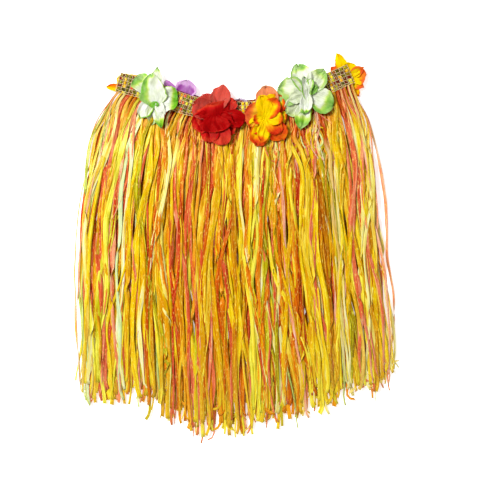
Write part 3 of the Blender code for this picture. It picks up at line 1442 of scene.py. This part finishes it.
@dataclass(frozen=True)
class Petal:
    """One petal.

    way is its compass: 0 towards +X, 90 towards the waist. lift is its slope where it is sewn on,
    and curl how much the slope grows to its tip. roll is its turn about its own length, cup how its
    sides rise. start and aside are where it is sewn on, outwards and to its left, and level how
    high. belly is where it is widest and point how sharp its tip is. left, right and tip are how far
    in the rim's dye reaches there, and fade how pale it is.
    """

    way: float
    length: float
    width: float
    lift: float
    curl: float
    roll: float = 0.0
    cup: float = 0.15
    start: float = 0.0
    aside: float = 0.0
    level: float = 0.0
    belly: float = 0.6
    point: float = 0.0
    left: float = 0.0
    right: float = 0.0
    tip: float = 0.0
    fade: float = 0.0

    def half_width(self, v: float) -> float:
        """Half the petal's width.

        Args:
            v: Where along it, from 0 to 1.

        Returns:
            The distance from its middle line to its edge.
        """
        if v < self.belly:
            return self.width / 2 * (0.24 + 0.76 * math.sin(math.pi / 2 * v / self.belly) ** 1.3)
        past = (v - self.belly) / (1 - self.belly)
        return self.width / 2 * (0.06 + 0.94 * max(1 - past**2.3, 0.0) ** (0.5 + self.point))

    def rim(self, u: float, v: float) -> float:
        """How much of the rim's dye there is at a place.

        Args:
            u: Where across it, from -1 to 1.
            v: Where along it, from 0 to 1.

        Returns:
            The share of the rim's dye.
        """
        most = 0.0
        for reach, place in ((self.left, -u), (self.right, u), (self.tip, v)):
            if reach:
                most = max(most, ease(1 - reach, 1 - 0.2 * reach, place))
        return most


@dataclass
class Flower:
    """A cloth flower: an outer and an inner layer of petals sewn through the middle.

    node is its name in the frame, without the layer. creases is how deep its creases are, across
    and along are the faces of a petal, and fullness is the share of its length times its width
    that a petal's cloth fills.
    """

    node: str
    outer: tuple[Petal, ...]
    inner: tuple[Petal, ...]
    finish: PetalFinish
    slot: str
    seed: float
    side: Side = Side.FRONT
    creases: float = 0.0018
    crease_width: float = 0.016
    crease_length: float = 0.024
    across: int = 20
    along: int = 26
    wall: float = 0.00045
    lowest: float = 0.0006
    fullness: float = 0.75

    def build(self, rests_on: list[str]) -> list[bpy.types.Object]:
        """Make both layers, as pieces of their own.

        Args:
            rests_on: What the flower lies on.

        Returns:
            The pieces.
        """
        low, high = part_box(self.node + "_outer")
        middle = Vector(((low[0] + high[0]) / 2, (low[1] + high[1]) / 2, low[2]))
        material = self.finish.build(self.node)
        pieces = []
        for layer, petals in (("outer", self.outer), ("inner", self.inner)):
            surface = Surface(names=("across", "along", "tone", "rim", "fade"))
            for number, petal in enumerate(petals):
                self.add_petal(surface, petal, middle, self.seed + number * 1.9 + 3.5)
            name = f"petals_{self.node.removeprefix('flower_')}_{layer}"
            piece = add_piece(
                name, surface.builder, material, self.slot, [f"{self.node}_{layer}"], self.wall, 35.0
            )
            longest = max(petal.length for petal in petals)
            cut = sum(petal.length * petal.width for petal in petals)
            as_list(rests_on)
            pieces.append(piece)
        return pieces

    def add_petal(self, surface: Surface, petal: Petal, middle: Vector, seed: float) -> None:
        """Shape a grid into a petal.

        Args:
            surface: The mesh to add it to.
            petal: Its sizes.
            middle: The flower's middle.
            seed: Its own crinkles.
        """
        lift = math.radians(petal.lift)
        curl = math.radians(petal.curl) or 1e-6
        way = math.radians(petal.way)
        outward = Vector((math.cos(way), math.sin(way), 0.0))
        left = Vector((-outward.y, outward.x, 0.0))
        for vert, u, row in surface.grid(self.across, self.along):
            v = row / self.along
            side = 7 if u < 0 else 8
            wobble = 0.12 * sway(seed + side, v * 3.5) + 0.06 * sway(seed + side, v * 11)
            reach = u * petal.half_width(v) * (1 + wobble * ease(0.1, 0.4, v))
            ragged = 0.06 * sway(seed + 9, u * 2.2) + 0.025 * sway(seed + 9, u * 8)
            run = v * petal.length * (1 + ragged * v)
            slope = lift + curl * v
            forward = petal.length / curl * (math.sin(slope) - math.sin(lift)) + run - v * petal.length
            rise = petal.length / curl * (math.cos(lift) - math.cos(slope))
            free = ease(0.1, 0.7, v)
            bow = petal.cup * petal.half_width(v) * u * u * 2
            bow += 0.0018 * sway(seed + 3, u * 1.6 + v * 1.2) * free
            creased = crumple(seed, reach / self.crease_width, run / self.crease_length)
            bow += self.creases * creased * free
            bow += 0.0006 * math.sin(5 * math.pi * u + seed) * (1 - v)
            roll = math.radians(petal.roll) * ease(0.0, 0.6, v)
            sideways = reach * math.cos(roll) - bow * math.sin(roll)
            bow = reach * math.sin(roll) + bow * math.cos(roll)
            place = outward * (petal.start + forward - bow * math.sin(slope))
            place += left * (petal.aside - sideways)
            place.z = petal.level + rise + bow * math.cos(slope)
            vert.co = middle + place
            vert.co.z = max(vert.co.z, self.lowest)
            surface.mark(
                vert,
                across=reach + seed,
                along=run,
                tone=tone_of(seed),
                rim=petal.rim(u, v),
                fade=petal.fade,
            )


@dataclass
class BackFlower(Flower):
    """A flower behind the band, of which little shows."""

    side: Side = Side.BACK
    across: int = 14
    along: int = 20


GREEN_WHITE = PetalFinish(
    stops=(
        (0.10, dyed(236, 240, 226, 0.82)),
        (0.34, dyed(224, 236, 184, 0.82)),
        (0.54, dyed(200, 228, 96, 0.80)),
        (0.76, dyed(146, 206, 38, 0.78)),
        (1.0, dyed(98, 178, 8, 0.76)),
    ),
    tint=dyed(208, 222, 158, 0.80),
    cloud=dyed(210, 222, 160, 0.80),
)
RED = PetalFinish(
    stops=(
        (0.10, petal_dye(164, 0, 4)),
        (0.45, petal_dye(186, 4, 12)),
        (0.80, petal_dye(206, 22, 20)),
        (1.0, petal_dye(216, 60, 34)),
    ),
    tint=petal_dye(206, 92, 78),
    cloud=petal_dye(150, 0, 6),
    glow=(1.0, 0.12, 0.08, 1.0),
    roughness=0.5,
)
YELLOW = PetalFinish(
    stops=(
        (0.10, petal_dye(255, 214, 0)),
        (0.34, petal_dye(255, 198, 0)),
        (0.56, petal_dye(246, 146, 6)),
        (0.80, petal_dye(230, 88, 10)),
        (1.0, petal_dye(216, 44, 18)),
    ),
    tint=petal_dye(226, 132, 108),
    cloud=petal_dye(246, 156, 4),
    glow=(1.0, 0.6, 0.1, 1.0),
)
ORANGE = PetalFinish(
    stops=(
        (0.10, petal_dye(255, 214, 0)),
        (0.30, petal_dye(255, 196, 6)),
        (0.50, petal_dye(252, 150, 20)),
        (0.85, petal_dye(236, 88, 44)),
    ),
    tint=petal_dye(240, 150, 120),
    cloud=petal_dye(250, 146, 10),
    glow=(1.0, 0.6, 0.1, 1.0),
)
PURPLE = PetalFinish(
    stops=(
        (0.15, petal_dye(146, 52, 152)),
        (0.38, petal_dye(172, 92, 180)),
        (0.62, petal_dye(216, 166, 220)),
    ),
    tint=petal_dye(204, 136, 206),
    cloud=petal_dye(190, 132, 196),
)
LILAC = PetalFinish(
    stops=((0.10, petal_dye(186, 170, 194)), (0.80, petal_dye(220, 210, 228))),
    tint=petal_dye(226, 220, 232),
    cloud=petal_dye(180, 160, 190),
)


def pressed(ways: tuple[float, ...], length: float, width: float) -> tuple[Petal, ...]:
    """Petals of one size that lie flat under the band, one for each of the given ways."""
    return tuple(Petal(way, length, width, 1, 1) for way in ways)


FLOWERS = (
    Flower(
        node="flower_green_left", finish=GREEN_WHITE, slot="petal_green_white", seed=1.0, creases=0.0026,
        outer=(
            Petal(129, 0.0465, 0.031, 14, -16, belly=0.75, tip=0.42, fade=0.1),
            Petal(84, 0.050, 0.018, 12, -8, point=0.5, left=0.3, tip=0.2, fade=0.25),
            Petal(-5, 0.0385, 0.043, 14, -18, left=0.1, tip=0.42),
            Petal(-77, 0.050, 0.019, 12, -8, point=0.4, tip=0.42),
            Petal(-96, 0.043, 0.021, 10, -6, point=0.3, tip=0.2, fade=0.7),
            Petal(232, 0.040, 0.024, 10, -8, point=0.3, left=0.3, tip=0.1),
        ),
        inner=(
            Petal(
                97, 0.056, 0.043, 16, -12, cup=0.05, start=-0.0150, level=0.004, belly=0.3, point=0.45,
                left=0.92, right=0.1, tip=0.16,
            ),
            Petal(-2, 0.017, 0.012, 4, 0, start=-0.0095, aside=-0.0115, level=0.006, tip=2.0),
            Petal(-76, 0.034, 0.016, 12, -8, aside=0.005, level=0.004, fade=0.1),
        ),
    ),
    Flower(
        node="flower_red", finish=RED, slot="petal_red", seed=2.0,
        outer=(
            Petal(150, 0.039, 0.037, 12, -10, tip=0.2, fade=0.5),
            Petal(120, 0.040, 0.030, 13, -10, tip=0.1, fade=0.5),
            Petal(74, 0.0515, 0.033, 12, -8, belly=0.65, point=0.15, fade=0.8),
            Petal(34, 0.043, 0.026, 13, -12, tip=0.3, fade=0.2),
            Petal(-9, 0.0525, 0.032, 12, -10),
            Petal(-40, 0.043, 0.028, 12, -10, tip=0.2),
            Petal(-70, 0.051, 0.036, 12, -10, tip=0.7, fade=0.15),
            Petal(-104, 0.045, 0.030, 12, -9, tip=0.4),
            Petal(208, 0.040, 0.035, 13, -10, left=0.3, right=0.2, tip=0.3),
        ),
        inner=(
            Petal(
                106, 0.030, 0.062, 26, -34, cup=-0.05, start=-0.0100, level=0.004, belly=0.75,
                tip=0.42,
            ),
            Petal(-84, 0.030, 0.048, 14, -12, start=-0.002, level=0.006, tip=0.1),
            Petal(-20, 0.032, 0.026, 14, -12, level=0.003, tip=0.1),
            Petal(196, 0.030, 0.026, 16, -14, level=0.002, tip=0.3),
        ),
    ),
    Flower(
        node="flower_yellow", finish=YELLOW, slot="petal_yellow", seed=3.0, creases=0.0026,
        outer=(
            Petal(92, 0.0495, 0.037, 11, -7, fade=0.9),
            Petal(58, 0.042, 0.036, 15, -14, right=0.7, tip=0.2),
            Petal(172, 0.0375, 0.038, 13, -14, right=0.2, tip=0.6, fade=0.15),
            Petal(-5, 0.033, 0.028, 14, -12, tip=0.1),
            Petal(-56, 0.046, 0.036, 13, -12, left=0.3, tip=1.0),
            Petal(-110, 0.051, 0.034, 11, -8, right=0.2, tip=0.4),
            Petal(222, 0.036, 0.030, 12, -10, tip=0.25),
        ),
        inner=(
            Petal(108, 0.041, 0.026, 22, -24, start=-0.006, level=0.003, right=0.2),
            Petal(62, 0.042, 0.028, 24, -24, start=-0.008, level=0.004, right=0.8, tip=0.35),
            Petal(-15, 0.029, 0.022, 24, -20, start=-0.002, level=0.005, tip=0.3),
            Petal(-55, 0.042, 0.027, 18, -16, start=-0.006, level=0.004, tip=0.8),
            Petal(-104, 0.043, 0.022, 18, -16, roll=20, level=0.005, tip=0.25),
            Petal(198, 0.024, 0.018, 18, -14, level=0.003, tip=0.5),
        ),
    ),
    Flower(
        node="flower_green_right", finish=GREEN_WHITE, slot="petal_green_white", seed=4.0, creases=0.0026,
        outer=(
            Petal(168, 0.0475, 0.047, 13, -13, left=1.15, right=0.25, tip=0.3, fade=0.35),
            Petal(107, 0.051, 0.034, 13, -12, left=0.3, tip=0.3, fade=0.15),
            Petal(54, 0.049, 0.033, 14, -13, point=0.4, right=0.5, tip=0.4, fade=0.3),
            Petal(-24, 0.0465, 0.041, 13, -13, right=0.6, tip=0.5, fade=0.15),
            Petal(-101, 0.058, 0.028, 12, -11, point=0.25, left=0.2, tip=0.55),
            Petal(222, 0.045, 0.030, 13, -11, left=0.2, tip=0.2, fade=0.6),
        ),
        inner=(
            Petal(99, 0.043, 0.018, 20, -20, roll=-24, start=-0.014, level=0.005, left=0.3, right=0.45),
            Petal(72, 0.030, 0.015, 22, -20, roll=26, start=-0.004, level=0.004, left=0.3, right=0.9),
            Petal(38, 0.022, 0.014, 20, -14, level=0.003, tip=1.6),
            Petal(-97, 0.040, 0.021, 16, -14, start=-0.008, level=0.005, tip=0.2),
            Petal(196, 0.031, 0.022, 16, -14, level=0.003, fade=0.4),
        ),
    ),
    BackFlower(
        node="flower_orange_right", finish=ORANGE, slot="petal_orange", seed=5.0, creases=0.0008,
        outer=(
            Petal(111, 0.0415, 0.019, 4, 10, point=0.5, left=0.2),
            Petal(147, 0.0300, 0.017, 2, 6, point=0.3, tip=1.0),
            Petal(60, 0.026, 0.030, 3, 14),
            Petal(8, 0.0345, 0.030, 3, 20, left=0.3, tip=0.45),
            Petal(28, 0.0345, 0.018, 3, 26, point=0.4, tip=0.5),
            Petal(-31, 0.0335, 0.019, 2, 16, point=0.4, tip=0.5),
            Petal(-54, 0.037, 0.013, 2, 6, tip=0.15),
            *pressed((200, 260), 0.034, 0.034),
        ),
        inner=pressed((45, 165, 285), 0.020, 0.022),
    ),
    BackFlower(
        node="flower_orange_left", finish=YELLOW, slot="petal_orange", seed=6.0, creases=0.0005,
        outer=(
            Petal(175, 0.0375, 0.013, 2, 12, point=0.3, right=1.5),
            *pressed((120, 50), 0.026, 0.026),
            *pressed((-20, -90), 0.032, 0.032),
        ),
        inner=pressed((10, 130, 250), 0.019, 0.022),
    ),
    BackFlower(
        node="flower_purple", finish=PURPLE, slot="petal_purple", seed=7.0, creases=0.0008,
        outer=(
            Petal(126, 0.0455, 0.018, 3, 12, point=0.2, left=0.5, fade=0.5),
            Petal(74, 0.042, 0.036, 2, 30, left=0.3, right=0.3, tip=0.40),
            *pressed((0, -70, -140), 0.030, 0.032),
        ),
        inner=pressed((30, 150, 270), 0.021, 0.022),
    ),
    BackFlower(
        node="flower_lilac", finish=LILAC, slot="petal_lilac", seed=8.0, creases=0.0003,
        outer=(
            Petal(90, 0.041, 0.030, 2, 3),
            *pressed((18, -54, -126, 162), 0.036, 0.034),
        ),
        inner=pressed((60, 180, 300), 0.021, 0.022),
    ),
)


# ---------------------------------------------------------------------------------- studio


@dataclass
class Studio:
    """A pale table under soft light, looked straight down on."""

    view_width: float = 0.792
    view_middle: tuple[float, float] = (0.0058, 0.0066)
    focus_height: float = 0.012
    lens: float = 85.0
    sensor: float = 36.0
    table_size: float = 40.0
    table_gap: float = 0.0003
    key_place: tuple[float, float, float] = (-1.2, 0.9, 2.2)
    key_size: float = 0.6
    key_power: float = 88.0
    sky: float = 0.50

    def build(self) -> None:
        """Table, light, world and camera."""
        self.build_table()
        self.build_light()
        self.build_world()
        self.build_camera()

    def build_table(self) -> None:
        """A wide flat top just below the skirt."""
        builder = bmesh.new()
        bmesh.ops.create_grid(builder, x_segments=8, y_segments=8, size=self.table_size / 2)
        for vert in builder.verts:
            vert.co.z = -self.table_gap
        mesh = bpy.data.meshes.new("table")
        builder.to_mesh(mesh)
        builder.free()
        mesh.materials.append(TableFinish().build("table"))
        table = bpy.data.objects.new("table", mesh)
        bpy.context.scene.collection.objects.link(table)

    def build_light(self) -> None:
        """A square soft light aimed at the skirt."""
        lamp = bpy.data.lights.new("key", "AREA")
        lamp.size = self.key_size
        lamp.energy = self.key_power
        light = bpy.data.objects.new("key", lamp)
        light.location = self.key_place
        light.rotation_euler = (-Vector(self.key_place)).to_track_quat("-Z", "Y").to_euler()
        bpy.context.scene.collection.objects.link(light)

    def build_world(self) -> None:
        """Even white light from all round."""
        world = bpy.data.worlds.new("studio")
        world.use_nodes = True
        back = world.node_tree.nodes["Background"]
        back.inputs["Color"].default_value = WHITE
        back.inputs["Strength"].default_value = self.sky
        bpy.context.scene.world = world
        bpy.context.scene.view_settings.view_transform = "Standard"

    def build_camera(self) -> None:
        """A camera straight above the skirt, with the waist at the top of its view."""
        data = bpy.data.cameras.new("camera")
        data.lens = self.lens
        data.sensor_width = self.sensor
        camera = bpy.data.objects.new("camera", data)
        height = self.focus_height + self.view_width * self.lens / self.sensor
        camera.location = (*self.view_middle, height)
        bpy.context.scene.collection.objects.link(camera)
        bpy.context.scene.camera = camera


def main() -> None:
    """Build the skirt and the studio."""
    lay = Lay()
    nodes = list(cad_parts)
    materials = {dye: dye.finish.build(f"raffia_{dye.label}") for dye in Raffia}
    back_nodes = [name for name in nodes if name.startswith("strands_back")]
    front_nodes = [name for name in nodes if name.startswith("strands_front")]
    band = Waistband(lay)
    back = Curtain(
        lay, Side.BACK, 180, band.columns, back_nodes, seed=31, across=3, along=36, gather=1.0, longer=-0.016
    )
    back_pieces = back.build(materials, ["table"])
    flushes = ((0.036, 0.058), (0.114, 0.136))
    front = Curtain(
        lay, Side.FRONT, 360, band.columns, front_nodes, seed=17, flushes=flushes, strays=26
    )
    front_names = [piece.name for piece in front.build(materials, [piece.name for piece in back_pieces])]
    knitted = {dye.label: material for dye, material in materials.items()}
    knitted["maroon"] = MAROON.build("raffia_maroon")
    knitted["olive"] = OLIVE.build("raffia_olive")
    # Dark strips behind the gaps in the knitting: painted shade.
    shade_strip = band.build_shade_strips(knitted["maroon"])
    knitting = band.build_cells(knitted)
    knitting += band.build_threads(ThreadFinish(srgb(252, 236, 190), srgb(234, 204, 142)).build("thread"))
    for flower in FLOWERS:
        flower.build(front_names if flower.side is Side.FRONT else ["table"])
    Studio().build()


if __name__ == "__main__":
    main()
